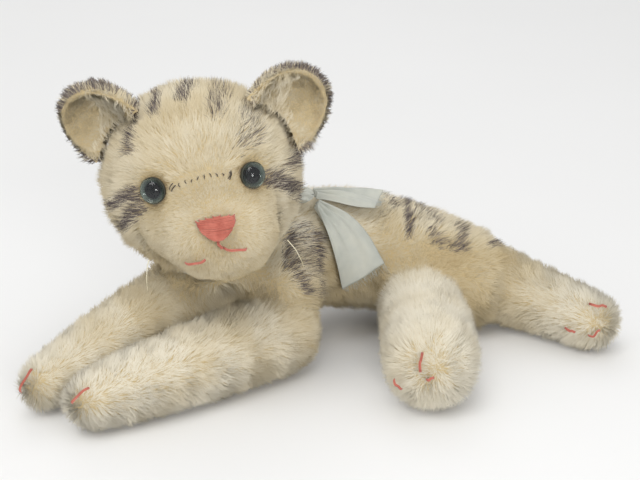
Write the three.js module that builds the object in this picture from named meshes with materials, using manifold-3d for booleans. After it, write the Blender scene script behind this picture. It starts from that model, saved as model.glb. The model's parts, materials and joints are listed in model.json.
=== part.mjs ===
// Plush tabby kitten lying down: mohair covers over firm stuffing, a head that swivels on a
// cotter-pinned disc joint, soft sewn legs and tail, glass eyes on wire shanks, stitched nose,
// mouth and claws, and a silk ribbon tied at the neck.
// Millimetres, +Z up. The origin is on the floor under the middle of the kitten, the kitten's
// forelegs reach towards -X and -Y, and its face looks along -Y.
import * as THREE from 'three';
import { mergeVertices } from 'three/addons/utils/BufferGeometryUtils.js';
import Module from 'manifold-3d';

const wasm = await Module();
wasm.setup();

const at = (x, y, z) => new THREE.Vector3(x, y, z);
const UP = at(0, 0, 1);

// ---- Driving dimensions -------------------------------------------------------------------

// Cloth
const PILE_CLOTH = 5;        // long mohair cloth, backing and pile pressed together
const SHORT_PILE_CLOTH = 3;  // sheared mohair of the muzzle
const THICKEST_CLOTH_SHARE = 0.45;   // of a limb's radius, so that a thin limb keeps its stuffing
const GAP = 0.4;             // clearance between two separate pieces
const STUFFING_GAP = 0.6;    // stuffing to the inside of its cover

// Head, an oval ball with a broad muzzle set low on its front
const HEAD = at(-53, -16, 88);
const HEAD_RADII = at(43, 41, 41);
const MUZZLE = at(-45, -42, 74.5);
const MUZZLE_RADII = at(27, 21, 23);
const MUZZLE_PANEL_RADII = at(31, 60, 27);   // the seam round the muzzle panel
const FACE_TOWARDS = at(0, -0.934, 0.358);   // the way the nose and mouth are stitched on
const FACE_ROLL = 9;                         // degrees, the head is tipped to one side

// Neck joint: two fibreboard discs held by a cotter pin, on an axis that leans forward
const NECK_AXIS = at(-0.221, -0.341, 0.914).normalize();
const NECK_BELOW_HEAD = 35;
const NECK = HEAD.clone().addScaledVector(NECK_AXIS, -NECK_BELOW_HEAD);
const HEAD_CLEARANCE_RADIUS = 45;   // the hollow in the shoulders that the head turns in
const SHOULDER_TOP = 6;             // no part of the body is higher than this over the joint
const NECK_OPENING_RADIUS = 9;
const DISC = { radius: 14, thickness: 2.5, below: 6 };   // below: the body's disc, under the joint
const WASHER = { radius: 6, thickness: 1 };
const PIN = { radius: 1.2, holeRadius: 1.7, endRadius: 2.6, endThickness: 1.2 };

// Eyes: where each one looks from the middle of the head, and its parts from back to front
const EYES = {
  left: at(-17.8, -35.5, 5.9).normalize(),
  right: at(24, -31.5, 11.3).normalize(),
};
const EYE = {
  seat: 37.4,           // its back, from the middle of the head
  seatClearance: 0.6,   // pile trimmed away round it
  shank: 0.7, shankLength: 13, shankClearance: 0.5,
  iris: 4.8, irisTo: 0.5,
  pupil: 2.8, pupilFrom: 0.8, pupilTo: 1.2,
  radius: 5, glassFrom: 1.5, flank: 0.4, dome: 3.6,
};

// Nose and mouth, laid out on a plane before the face, from the middle of the muzzle
const NOSE = {
  middle: 0.8, halfWidth: 8, top: 3.6, crown: 5.2, bottom: -4.8, bottomHalfWidth: 1.6, rise: 1.8,
};
const THREAD_WIDTH = 1.3;
const THREAD_LIFT = 0.3;   // a thread's underside over the surface
const THREAD_RISE = 1.4;   // its top over the surface
const FACE_STITCHES = {
  philtrum_stitch: [[0.8, -5.3], [1.2, -8.6]],
  mouth_right_stitch: [[2.2, -8.6], [10.6, -10.6]],
  mouth_left_stitch: [[-13.7, -12.4], [-6.4, -12.4]],
};

// Whiskers: points along each one, from the middle of the head
const WHISKER_RADIUS = 0.35;
const WHISKERS = {
  left: [at(-19.5, -32, -24), at(-20.6, -33.5, -28), at(-20.8, -34, -33), at(-20.4, -33.5, -38)],
  right: [at(35.5, -28.5, -17), at(38.5, -30, -20), at(41, -30.5, -24), at(42.5, -30, -29)],
};

// Ears: rounded and cupped, each a piece of a hollow ball
const EAR = {
  halfWidth: 17, height: 28, below: 8,
  cup: 23, cupMiddleShare: 0.42, cupDepthShare: 0.55,
  back: 3.4, lining: 1.8,
};
const EARS = {
  left: { root: at(-30.5, -1, 20.5), out: at(-0.74, 0.05, 0.67), facing: at(-0.12, -0.96, -0.26) },
  right: { root: at(28, 0, 23), out: at(0.68, 0.05, 0.73), facing: at(0.2, -0.97, 0.05) },
};

// Legs and tail: stations along the middle of each, from its root to its tip, with radii.
// The root station is the centre of the joint that the limb flexes about.
const LIMBS = {
  near_front_leg: [
    { at: at(-21.5, -18.6, 18.5), r: 20 },
    { at: at(-47.6, -40.9, 17.5), r: 19.3 },
    { at: at(-72.9, -59.9, 16), r: 17.2 },
    { at: at(-94.3, -74, 13.5), r: 14.6 },
  ],
  far_front_leg: [
    { at: at(-72.5, -8, 26), r: 17.3 },
    { at: at(-88, -25, 22), r: 16.4 },
    { at: at(-103, -41, 16.5), r: 15 },
    { at: at(-116.4, -56.3, 12.5), r: 13.4 },
  ],
  near_hind_leg: [
    { at: at(40, 7.2, 19.3), r: 19.8 },
    { at: at(41.8, -23, 19.5), r: 21 },
    { at: at(41.4, -51.1, 19.5), r: 21.3 },
  ],
  far_hind_leg: [
    { at: at(77.7, 34, 18.6), r: 19.1 },
    { at: at(96.8, 20.2, 16), r: 16.6 },
    { at: at(115, 4.6, 14), r: 15.4 },
  ],
  tail: [
    { at: at(56, 56, 21), r: 8.5 },
    { at: at(40, 71.5, 12), r: 8 },
    { at: at(16, 79.5, 7.5), r: 7.6 },
    { at: at(-12, 80.5, 7), r: 7.2 },
  ],
};

// How far each limb lifts, in degrees, and the room in the body for each degree of it
const LIFT = { near_front_leg: 12, far_front_leg: 12, near_hind_leg: 20, far_hind_leg: 15, tail: 25 };
const SWING_SHARE = 0.1;
const LIMB_CLEARANCE = 1.2;
const SEAM_OPENING_SHARE = 0.4;   // the hole in a limb's root, against the limb's radius there

// Body: a back that runs from the shoulders to the rump, and balls for the chest and shoulders
const BACK = [
  { at: at(-32.4, 10.9, 45), r: 26 },
  { at: at(9.7, 41.9, 34), r: 28.3 },
  { at: at(45.6, 32.1, 30), r: 25 },
  { at: at(62, 30, 23.5), r: 24.5 },
];
const CHEST_BALLS = [
  { at: at(-45.1, 0.9, 41), r: 26 },
  { at: at(-21.5, -8.5, 34), r: 20.5 },
  { at: at(-62, -2, 32), r: 20 },
];

// Ribbon: a band gathered round the neck, a knot on the shoulder and two cut ends. Each end is
// given by its two long edges, from the knot outwards.
const RIBBON_THICKNESS = 1;
const BAND = { inner: 43.7, outer: 44.9, from: -1, to: 6 };
const KNOT = { at: at(-11.5, 12.5, 69.8), radii: at(4.5, 4.2, 3.4) };
const RIBBON_ENDS = {
  ribbon_front_end: {
    near: [at(-6, 7.5, 66), at(-0.3, 2.5, 53.5), at(3.9, 1.5, 40), at(6, 4.5, 28.5)],
    far: [at(-5, 12, 67), at(8.1, 15.6, 59.5), at(17.2, 15, 50.5), at(24.5, 10.2, 38.5)],
  },
  ribbon_back_end: {
    near: [at(-5.2, 15.6, 68), at(3, 19.5, 65), at(12, 22, 61.5), at(20, 24.2, 59)],
    far: [at(-7.5, 19.5, 69), at(4, 31, 67), at(14, 34.5, 65.5), at(24, 36, 63)],
  },
};

// Claws: stitches on the tips of the paws. Each looks along `towards` from the middle of the
// paw, and its thread runs along `along`.
const CLAW = { width: 1.6, rise: 1.3 };
const CLAWS = {
  near_front_leg: [{ towards: at(-4, -11.5, 7.4), along: at(0.81, 0.2, 0.55), length: 9 }],
  far_front_leg: [{ towards: at(-6.2, -10, 5.5), along: at(0.53, 0.3, 0.79), length: 10.5 }],
  near_hind_leg: [
    { towards: at(-5.2, -18.8, 8.5), along: at(0.15, 0.36, 0.92), length: 7.8 },
    { towards: at(-14.5, -15.3, -3.2), along: at(0.7, -0.25, -0.66), length: 5 },
    { towards: at(-1.6, -21.1, 2.5), along: at(0.95, 0.1, 0.28), length: 3 },
  ],
  far_hind_leg: [
    { towards: at(2, -10.2, 11.3), along: at(0.96, -0.1, -0.25), length: 7.5 },
    { towards: at(-9.8, -11.9, 0.2), along: at(0.93, -0.13, -0.34), length: 4.5 },
    { towards: at(0, -15.4, 0.3), along: at(0.93, 0.13, 0.34), length: 5 },
  ],
};

// ---- Materials ----------------------------------------------------------------------------

const finish = (color, roughness, metalness = 0) =>
  new THREE.MeshStandardMaterial({ color, roughness, metalness });

const creamMohair = () => finish(0xe4d9bd, 0.95);
const shearedMohair = () => finish(0xe8dcc0, 0.95);
const earVelvet = () => finish(0xc9ae7c, 0.9);
const woodWool = () => finish(0xc8a86a, 1);
const coralThread = () => finish(0xd8695c, 0.6);
const paleSilk = () => finish(0xaab4ac, 0.45);
const fibreboard = () => finish(0x8a6a48, 0.85);
const steel = () => finish(0x9a9a98, 0.35, 1);
const clearGlass = () => finish(0xdde6e0, 0.05);
const irisPaint = () => finish(0x6f7f68, 0.4);
const blackGlass = () => finish(0x0b0b0c, 0.1);
const nylon = () => finish(0xd9cf9a, 0.3);

// ---- Solids -------------------------------------------------------------------------------

function solidOf(geometry) {
  const bare = geometry.clone();
  bare.deleteAttribute('normal');
  bare.deleteAttribute('uv');
  const merged = mergeVertices(bare, 1e-4);
  return new wasm.Manifold(new wasm.Mesh({
    numProp: 3,
    vertProperties: new Float32Array(merged.attributes.position.array),
    triVerts: new Uint32Array(merged.index.array),
  }));
}

function geometryOf(solid) {
  const mesh = solid.getMesh();
  const geometry = new THREE.BufferGeometry();
  geometry.setAttribute('position', new THREE.BufferAttribute(mesh.vertProperties, 3));
  geometry.setIndex(new THREE.BufferAttribute(mesh.triVerts, 1));
  geometry.computeVertexNormals();
  return geometry;
}

// A turn that takes +Z to `direction`, with +X kept as level as it can be, then rolled.
function facing(direction, rollDegrees = 0) {
  const z = direction.clone().normalize();
  const x = new THREE.Vector3().crossVectors(UP, z).normalize();
  const y = new THREE.Vector3().crossVectors(z, x);
  const turn = new THREE.Matrix4().makeBasis(x, y, z);
  return turn.multiply(new THREE.Matrix4().makeRotationZ(THREE.MathUtils.degToRad(rollDegrees)));
}

function placed(geometry, turn, position) {
  return solidOf(geometry.clone().applyMatrix4(turn).translate(position.x, position.y, position.z));
}

function ovalBall(centre, radii, columns, rows) {
  const ball = new THREE.SphereGeometry(1, columns, rows);
  ball.rotateX(Math.PI / 2);
  ball.scale(radii.x, radii.y, radii.z);
  ball.translate(centre.x, centre.y, centre.z);
  return solidOf(ball);
}

const roundBall = (centre, radius, columns, rows) =>
  ovalBall(centre, at(radius, radius, radius), columns, rows);

const grown = (radii, by) => radii.clone().addScalar(by);

// A soft tube with round ends: the rows of a sphere are laid out along the limb's middle line.
function limbSolid(stations, grow, sides = 14, rowsBetween = 2) {
  const capRows = 3;
  const middle = new THREE.CatmullRomCurve3(stations.map((s) => s.at), false, 'catmullrom');
  const size = new THREE.CatmullRomCurve3(stations.map((s) => at(s.r + grow, 0, 0)), false, 'catmullrom');
  const rings = [];
  const cap = (t, sign) => {
    const radius = size.getPoint(t).x;
    for (let row = 0; row < capRows; row += 1) {
      const angle = (row / capRows) * (Math.PI / 2);
      const centre = middle.getPoint(t).addScaledVector(middle.getTangent(t), sign * radius * Math.cos(angle));
      rings.push({ centre, tangent: middle.getTangent(t), radius: radius * Math.sin(angle) });
    }
  };
  cap(0, -1);
  const spans = (stations.length - 1) * rowsBetween;
  for (let span = 0; span <= spans; span += 1) {
    const t = span / spans;
    rings.push({ centre: middle.getPoint(t), tangent: middle.getTangent(t), radius: size.getPoint(t).x });
  }
  const endCap = rings.length;
  cap(1, 1);
  rings.push(...rings.splice(endCap).reverse());

  const geometry = new THREE.SphereGeometry(1, sides, rings.length - 1);
  const position = geometry.attributes.position;
  rings.forEach((ring, row) => {
    const side = new THREE.Vector3().crossVectors(ring.tangent, UP).normalize();
    const top = new THREE.Vector3().crossVectors(side, ring.tangent);
    for (let column = 0; column <= sides; column += 1) {
      const angle = (column / sides) * 2 * Math.PI;
      const point = ring.centre.clone()
        .addScaledVector(side, ring.radius * Math.cos(angle))
        .addScaledVector(top, ring.radius * Math.sin(angle));
      position.setXYZ(row * (sides + 1) + column, point.x, point.y, point.z);
    }
  });
  return solidOf(geometry);
}

const BLOCK = 400;   // wider than the whole kitten, for cutting by a plane
const REACH = 60;    // further than any surface is from the middle that a cut starts at

const belowFloor = placed(new THREE.BoxGeometry(BLOCK, BLOCK, BLOCK), new THREE.Matrix4(), at(0, 0, -BLOCK / 2));

function beyondNeck(height) {
  const centre = NECK.clone().addScaledVector(NECK_AXIS, height + BLOCK / 2);
  return placed(new THREE.BoxGeometry(BLOCK, BLOCK, BLOCK), facing(NECK_AXIS), centre);
}

// A round bar along `axis`, from `from` to `to` measured from `origin`.
function bar(origin, axis, radius, from, to, sides = 20) {
  const geometry = new THREE.CylinderGeometry(radius, radius, to - from, sides);
  geometry.rotateX(Math.PI / 2);
  return placed(geometry, facing(axis), origin.clone().addScaledVector(axis, (from + to) / 2));
}

const cat = new THREE.Group();

function add(name, solidOrGeometry, material) {
  const geometry = solidOrGeometry.isBufferGeometry ? solidOrGeometry : geometryOf(solidOrGeometry);
  const mesh = new THREE.Mesh(geometry, material);
  mesh.name = name;
  cat.add(mesh);
}

// ---- Head ---------------------------------------------------------------------------------

function headShape(grow, muzzleGrow) {
  const ball = ovalBall(HEAD, grown(HEAD_RADII, grow), 20, 13);
  return ball.add(ovalBall(MUZZLE, grown(MUZZLE_RADII, muzzleGrow), 16, 10));
}

const eyeSeats = Object.values(EYES).map((look) =>
  bar(HEAD, look, EYE.radius + EYE.seatClearance, EYE.seat - GAP, REACH, 16));
const shankHoles = Object.values(EYES).map((look) =>
  bar(HEAD, look, EYE.shank + EYE.shankClearance, EYE.seat - EYE.shankLength - 1, EYE.seat, 6));
const eyeHoles = [...eyeSeats, ...shankHoles];

const cutAll = (solid, cutters) => cutters.reduce((left, cutter) => left.subtract(cutter), solid);

const muzzleBeam = (grow) => {
  const beam = new THREE.CylinderGeometry(1, 1, 1, 26);
  beam.rotateX(Math.PI / 2);
  beam.scale(MUZZLE_PANEL_RADII.x + grow, MUZZLE_PANEL_RADII.z + grow, MUZZLE_PANEL_RADII.y);
  beam.translate(0, 0, MUZZLE_PANEL_RADII.y / 2);
  return placed(beam, facing(at(0, -1, 0), FACE_ROLL), MUZZLE);
};

const headHollow = headShape(-PILE_CLOTH, -SHORT_PILE_CLOTH);
const headShell = headShape(0, 0)
  .subtract(headHollow)
  .intersect(beyondNeck(0));
const neckOpening = bar(NECK, NECK_AXIS, NECK_OPENING_RADIUS, -2 * PILE_CLOTH, 2 * PILE_CLOTH);

// The head hollow's floor is flat over the neck joint, where the cover is drawn in over the disc.
const headFloor = beyondNeck(0).subtract(beyondNeck(PILE_CLOTH)).intersect(headHollow);
add('head_cover',
  cutAll(headShell.add(headFloor), [neckOpening, muzzleBeam(GAP), ...eyeHoles]), creamMohair());
add('muzzle_panel', cutAll(headShell.intersect(muzzleBeam(0)), eyeHoles), shearedMohair());

const headDiscFrom = PILE_CLOTH + GAP;
const headPinRoom = headDiscFrom + DISC.thickness + WASHER.thickness + 2 * GAP + PIN.endThickness;
const stuffedHead = headShape(-PILE_CLOTH - STUFFING_GAP, -SHORT_PILE_CLOTH - STUFFING_GAP)
  .intersect(beyondNeck(headPinRoom));
add('head_stuffing', cutAll(stuffedHead, shankHoles), woodWool());

// ---- Neck joint ---------------------------------------------------------------------------

const ring = (radius, hole, from, to, sides) =>
  bar(NECK, NECK_AXIS, radius, from, to, sides).subtract(bar(NECK, NECK_AXIS, hole, from - 1, to + 1, 12));

const headDiscTo = headDiscFrom + DISC.thickness;
const bodyDiscFrom = -(DISC.below + GAP + DISC.thickness);
const bodyDiscTo = bodyDiscFrom + DISC.thickness;
const headWasherFrom = headDiscTo + GAP;
const headWasherTo = headWasherFrom + WASHER.thickness;
const bodyWasherTo = bodyDiscFrom - GAP;
const bodyWasherFrom = bodyWasherTo - WASHER.thickness;

add('head_disc', ring(DISC.radius, PIN.holeRadius, headDiscFrom, headDiscTo, 24), fibreboard());
add('head_washer', ring(WASHER.radius, PIN.holeRadius, headWasherFrom, headWasherTo, 16), steel());
add('body_disc', ring(DISC.radius, PIN.holeRadius, bodyDiscFrom, bodyDiscTo, 24), fibreboard());
add('body_washer', ring(WASHER.radius, PIN.holeRadius, bodyWasherFrom, bodyWasherTo, 16), steel());

// The cotter pin: a shaft with a round eye over the head washer and its tails bent under the
// body washer.
const pinBar = (radius, from, to) => bar(NECK, NECK_AXIS, radius, from, to, 12);
const pinTop = headWasherTo + GAP;
const pinBottom = bodyWasherFrom - GAP;
const pinShaft = pinBar(PIN.radius, pinBottom - PIN.endThickness / 2, pinTop + PIN.endThickness / 2);
const pinHead = pinBar(PIN.endRadius, pinTop, pinTop + PIN.endThickness);
const pinTails = pinBar(PIN.endRadius, pinBottom - PIN.endThickness, pinBottom);
add('cotter_pin', pinShaft.add(pinHead).add(pinTails), steel());

// ---- Eyes ---------------------------------------------------------------------------------

function disc(radius, from, to, sides = 20) {
  const geometry = new THREE.CylinderGeometry(radius, radius, to - from, sides);
  geometry.rotateX(Math.PI / 2);
  geometry.translate(0, 0, (from + to) / 2);
  return geometry;
}

// A dome of glass with a flat back and a low straight flank round its edge.
function glassDome() {
  const profile = [new THREE.Vector2(0, EYE.glassFrom), new THREE.Vector2(EYE.radius, EYE.glassFrom)];
  const steps = 4;
  for (let step = 0; step <= steps; step += 1) {
    const angle = (step / steps) * (Math.PI / 2);
    const out = step === steps ? 0 : EYE.radius * Math.cos(angle);
    profile.push(new THREE.Vector2(out, EYE.glassFrom + EYE.flank + EYE.dome * Math.sin(angle)));
  }
  const dome = new THREE.LatheGeometry(profile, 16);
  dome.rotateX(Math.PI / 2);
  return dome;
}

for (const [side, look] of Object.entries(EYES)) {
  const seat = HEAD.clone().addScaledVector(look, EYE.seat);
  const turn = facing(look);
  const put = (name, geometry, material) => add(name, placed(geometry, turn, seat), material);
  put(`eye_${side}_shank`, disc(EYE.shank, -EYE.shankLength, -GAP, 8), steel());
  put(`eye_${side}_iris`, disc(EYE.iris, 0, EYE.irisTo), irisPaint());
  put(`eye_${side}_pupil`, disc(EYE.pupil, EYE.pupilFrom, EYE.pupilTo), blackGlass());
  put(`eye_${side}_glass`, glassDome(), clearGlass());
}

// ---- Ears ---------------------------------------------------------------------------------

function earOutline() {
  const w = EAR.halfWidth;
  const h = EAR.height;
  const outline = new THREE.Shape();
  outline.moveTo(-w, -EAR.below);
  outline.lineTo(w, -EAR.below);
  outline.lineTo(w, 0);
  outline.bezierCurveTo(w, h * 0.62, w * 0.62, h, 0, h);
  outline.bezierCurveTo(-w * 0.62, h, -w, h * 0.62, -w, 0);
  return new THREE.ExtrudeGeometry(outline, { depth: REACH, bevelEnabled: false, curveSegments: 5 })
    .translate(0, 0, -REACH / 2);
}

for (const [side, ear] of Object.entries(EARS)) {
  const front = ear.facing.clone().normalize();
  const across = new THREE.Vector3().crossVectors(ear.out, front).normalize();
  const out = new THREE.Vector3().crossVectors(front, across);
  const turn = new THREE.Matrix4().makeBasis(across, out, front);
  const root = HEAD.clone().add(ear.root);
  const cutter = placed(earOutline(), turn, root);
  const middle = root.clone()
    .addScaledVector(out, EAR.height * EAR.cupMiddleShare)
    .addScaledVector(front, EAR.cup - EAR.back);
  const inFront = placed(new THREE.BoxGeometry(BLOCK, BLOCK, BLOCK), turn,
    middle.clone().addScaledVector(front, BLOCK / 2 - EAR.cup * (1 - EAR.cupDepthShare)));
  const layer = (outer, inner) => roundBall(middle, outer, 16, 10)
    .subtract(roundBall(middle, inner, 16, 10))
    .subtract(inFront)
    .intersect(cutter)
    .subtract(ovalBall(HEAD, grown(HEAD_RADII, GAP), 22, 14));
  add(`ear_${side}_back`, layer(EAR.cup, EAR.cup - EAR.back), creamMohair());
  const liningFrom = EAR.cup - EAR.back - GAP;
  add(`ear_${side}_lining`, layer(liningFrom, liningFrom - EAR.lining), earVelvet());
}

// ---- Nose, mouth and whiskers -------------------------------------------------------------

const faceTurn = facing(FACE_TOWARDS, FACE_ROLL);
const muzzleSkin = (rise) => ovalBall(MUZZLE, grown(MUZZLE_RADII, rise), 16, 10);

// Thread on the muzzle: whatever of `beam` lies in a thin layer over the muzzle's surface.
const stitched = (beam, rise) => beam.intersect(muzzleSkin(rise)).subtract(muzzleSkin(THREAD_LIFT));

function noseBeam() {
  const { middle, halfWidth, top, crown, bottom, bottomHalfWidth } = NOSE;
  const outline = new THREE.Shape();
  outline.moveTo(middle - halfWidth, top);
  outline.quadraticCurveTo(middle, crown, middle + halfWidth, top);
  outline.quadraticCurveTo(middle + halfWidth * 0.88, bottom * 0.42, middle + bottomHalfWidth, bottom);
  outline.lineTo(middle - bottomHalfWidth, bottom);
  outline.quadraticCurveTo(middle - halfWidth * 0.88, bottom * 0.42, middle - halfWidth, top);
  const beam = new THREE.ExtrudeGeometry(outline, { depth: REACH, bevelEnabled: false, curveSegments: 5 });
  return placed(beam, faceTurn, MUZZLE);
}

function stitchBeam([fromX, fromY], [toX, toY]) {
  const length = Math.hypot(toX - fromX, toY - fromY);
  const beam = new THREE.BoxGeometry(length, THREAD_WIDTH, REACH);
  beam.rotateZ(Math.atan2(toY - fromY, toX - fromX));
  beam.translate((fromX + toX) / 2, (fromY + toY) / 2, REACH / 2);
  return placed(beam, faceTurn, MUZZLE);
}

add('nose_embroidery', stitched(noseBeam(), NOSE.rise), coralThread());
for (const [name, ends] of Object.entries(FACE_STITCHES)) {
  add(name, stitched(stitchBeam(...ends), THREAD_RISE), coralThread());
}

for (const [side, route] of Object.entries(WHISKERS)) {
  const path = new THREE.CatmullRomCurve3(route.map((point) => point.clone().add(HEAD)));
  const section = new THREE.Shape();
  section.absarc(0, 0, WHISKER_RADIUS, 0, Math.PI * 2);
  add(`whisker_${side}`, new THREE.ExtrudeGeometry(section,
    { steps: 6, curveSegments: 3, extrudePath: path, bevelEnabled: false }), nylon());
}

// ---- Body ---------------------------------------------------------------------------------

function bodyShape(grow, sides) {
  const rows = Math.round(sides * 0.6);
  const balls = CHEST_BALLS.map((ball) => roundBall(ball.at, ball.r + grow, sides, rows));
  return balls.reduce((sum, ball) => sum.add(ball), limbSolid(BACK, grow, sides));
}

// What the head and each limb need: the room they turn in, with `clearance` round them.
function headRoom(clearance) {
  const bowl = roundBall(HEAD, HEAD_CLEARANCE_RADIUS + clearance, 20, 14)
    .intersect(beyondNeck(-1 - clearance));
  return bowl.add(beyondNeck(SHOULDER_TOP - clearance));
}

// The axis that lifts a limb: level, and square to the way the limb runs.
function liftAxis(name) {
  const stations = LIMBS[name];
  const run = stations[stations.length - 1].at.clone().sub(stations[0].at).setZ(0).normalize();
  return at(run.y, -run.x, 0);
}

// The limb half lifted and a little swollen, which holds every pose of it near its root.
function limbRoom(name, clearance) {
  const stations = LIMBS[name];
  const joint = stations[0].at;
  const halfLift = THREE.MathUtils.degToRad(LIFT[name] / 2);
  const halfLifted = stations.map((station) => ({
    at: station.at.clone().sub(joint).applyAxisAngle(liftAxis(name), halfLift).add(joint),
    r: station.r,
  }));
  return limbSolid(halfLifted, clearance + SWING_SHARE * LIFT[name], 14, 1);
}

// The biggest of the separate pieces that the cuts leave.
const biggest = (solid) => solid.decompose().reduce((a, b) => (a.volume() > b.volume() ? a : b));

const rooms = (clearance) =>
  [headRoom(clearance), ...Object.keys(LIMBS).map((name) => limbRoom(name, clearance))];

const bodyOuter = biggest(cutAll(bodyShape(0, 16), [...rooms(LIMB_CLEARANCE), belowFloor]));
const bodyInner = biggest(cutAll(bodyShape(-PILE_CLOTH, 12), rooms(PILE_CLOTH)));
add('body_cover', bodyOuter.subtract(bodyInner).subtract(neckOpening), creamMohair());

const stuffingInset = PILE_CLOTH + STUFFING_GAP;
const discRoom = bar(NECK, NECK_AXIS, DISC.radius + 1, pinBottom - 2 * PIN.endThickness, REACH, 24);
const stuffedBody = cutAll(bodyShape(-stuffingInset, 12), [...rooms(stuffingInset), discRoom]);
add('body_stuffing', biggest(stuffedBody), woodWool());

// ---- Ribbon -------------------------------------------------------------------------------

const bandZone = roundBall(HEAD, BAND.outer, 28, 16).subtract(roundBall(HEAD, BAND.inner, 28, 16));
add('ribbon_band', bandZone.intersect(beyondNeck(BAND.from)).subtract(beyondNeck(BAND.to)), paleSilk());
add('ribbon_knot', ovalBall(KNOT.at, KNOT.radii, 12, 8), paleSilk());

// A thin strip between two edges, made by laying the grid of a flat box along them.
function strip(edges, thickness) {
  const alongSteps = 6;
  const acrossSteps = 2;
  const near = new THREE.CatmullRomCurve3(edges.near, false, 'catmullrom');
  const far = new THREE.CatmullRomCurve3(edges.far, false, 'catmullrom');
  const geometry = new THREE.BoxGeometry(1, 1, 1, alongSteps, acrossSteps, 1);
  const position = geometry.attributes.position;
  for (let i = 0; i < position.count; i += 1) {
    const t = position.getX(i) + 0.5;
    const share = position.getY(i) + 0.5;
    const left = near.getPoint(t);
    const right = far.getPoint(t);
    const run = near.getTangent(t).lerp(far.getTangent(t), 0.5);
    const out = new THREE.Vector3().crossVectors(run, right.clone().sub(left)).normalize();
    const point = left.lerp(right, share).addScaledVector(out, position.getZ(i) * thickness);
    position.setXYZ(i, point.x, point.y, point.z);
  }
  return geometry;
}

for (const [name, edges] of Object.entries(RIBBON_ENDS)) {
  add(name, strip(edges, RIBBON_THICKNESS), paleSilk());
}

// ---- Legs and tail ------------------------------------------------------------------------

for (const [name, stations] of Object.entries(LIMBS)) {
  const root = stations[0];
  const run = stations[1].at.clone().sub(root.at).normalize();
  const opening = bar(root.at, run, root.r * SEAM_OPENING_SHARE, -REACH, 0, 14);
  const cloth = Math.min(PILE_CLOTH, root.r * THICKEST_CLOTH_SHARE);
  const cover = limbSolid(stations, 0).subtract(limbSolid(stations, -cloth, 8)).subtract(opening);
  add(`${name}_cover`, cover.subtract(belowFloor), creamMohair());
  add(`${name}_stuffing`, limbSolid(stations, -cloth - STUFFING_GAP, 8), woodWool());

  (CLAWS[name] ?? []).forEach((claw, index) => {
    const tip = stations[stations.length - 1];
    const front = claw.towards.clone().normalize();
    const along = claw.along.clone().addScaledVector(front, -claw.along.dot(front)).normalize();
    const across = new THREE.Vector3().crossVectors(front, along);
    const turn = new THREE.Matrix4().makeBasis(along, across, front);
    const box = new THREE.BoxGeometry(claw.length, CLAW.width, REACH).translate(0, 0, REACH / 2);
    const thread = placed(box, turn, tip.at)
      .intersect(limbSolid(stations, CLAW.rise))
      .subtract(limbSolid(stations, THREAD_LIFT));
    add(`${name}_claw_${index + 1}`, thread, coralThread());
  });
}

export default cat;
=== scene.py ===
"""The looks of a lying mohair kitten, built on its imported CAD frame. Lengths are in metres."""
import json
import math

import bmesh
import bpy
import numpy as np
from mathutils import Matrix, Vector
from mathutils.bvhtree import BVHTree
from mathutils.kdtree import KDTree


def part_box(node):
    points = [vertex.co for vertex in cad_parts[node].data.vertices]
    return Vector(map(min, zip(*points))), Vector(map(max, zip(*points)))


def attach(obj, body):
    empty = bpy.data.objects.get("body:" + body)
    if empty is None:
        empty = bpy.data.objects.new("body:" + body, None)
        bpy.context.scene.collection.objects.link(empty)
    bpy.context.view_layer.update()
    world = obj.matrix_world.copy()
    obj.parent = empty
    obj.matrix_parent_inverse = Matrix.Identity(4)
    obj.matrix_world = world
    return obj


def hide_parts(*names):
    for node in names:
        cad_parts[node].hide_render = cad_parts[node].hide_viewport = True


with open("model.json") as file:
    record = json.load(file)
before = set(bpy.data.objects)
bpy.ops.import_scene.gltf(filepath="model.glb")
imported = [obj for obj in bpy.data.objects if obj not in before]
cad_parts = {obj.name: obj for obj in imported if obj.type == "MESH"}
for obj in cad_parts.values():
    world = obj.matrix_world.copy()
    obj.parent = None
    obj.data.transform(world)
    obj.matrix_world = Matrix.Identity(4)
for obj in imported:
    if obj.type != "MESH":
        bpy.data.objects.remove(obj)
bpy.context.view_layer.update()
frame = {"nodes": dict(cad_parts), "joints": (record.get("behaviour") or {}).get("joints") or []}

MM = 0.001
scene = bpy.context.scene


# ---- Camera and light -----------------------------------------------------------------------

CAMERA_AT = (-0.004, -0.70184, 0.32293)
CAMERA_DOWN = 21       # degrees below level
LENS, SENSOR = 98.44, 36.0

KEY_LIGHT = {"at": (-0.30, -0.40, 1.2), "size": 0.7, "power": 5.6}
FILL_LIGHT = {"at": (0.25, -1.05, 0.42), "size": 0.35, "power": 4.0}
BACK_LIGHT = {"at": (-0.1, 0.9, 0.9), "size": 0.8, "power": 1.8}
SKY = 0.64


def add_camera():
    camera = bpy.data.objects.new("camera", bpy.data.cameras.new("camera"))
    scene.collection.objects.link(camera)
    camera.location = CAMERA_AT
    camera.rotation_euler = (math.radians(90 - CAMERA_DOWN), 0, 0)
    camera.data.lens = LENS
    camera.data.sensor_width = SENSOR
    camera.data.clip_start = 0.01
    scene.camera = camera


def add_light(name, light):
    lamp = bpy.data.lights.new(name, "AREA")
    lamp.energy = light["power"]
    lamp.size = light["size"]
    thing = bpy.data.objects.new(name, lamp)
    scene.collection.objects.link(thing)
    thing.location = light["at"]
    thing.rotation_euler = (-Vector(light["at"])).to_track_quat("-Z", "Y").to_euler()


# ---- Small geometry helpers -----------------------------------------------------------------

def unit(vectors):
    """Each row scaled to length 1."""
    vectors = np.asarray(vectors, float)
    return vectors / np.maximum(np.linalg.norm(vectors, axis=-1, keepdims=True), 1e-12)


def dot(a, b):
    return (np.asarray(a) * np.asarray(b)).sum(-1)


def smooth_step(low, high, values):
    share = np.clip((values - low) / (high - low), 0, 1)
    return share * share * (3 - 2 * share)


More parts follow.
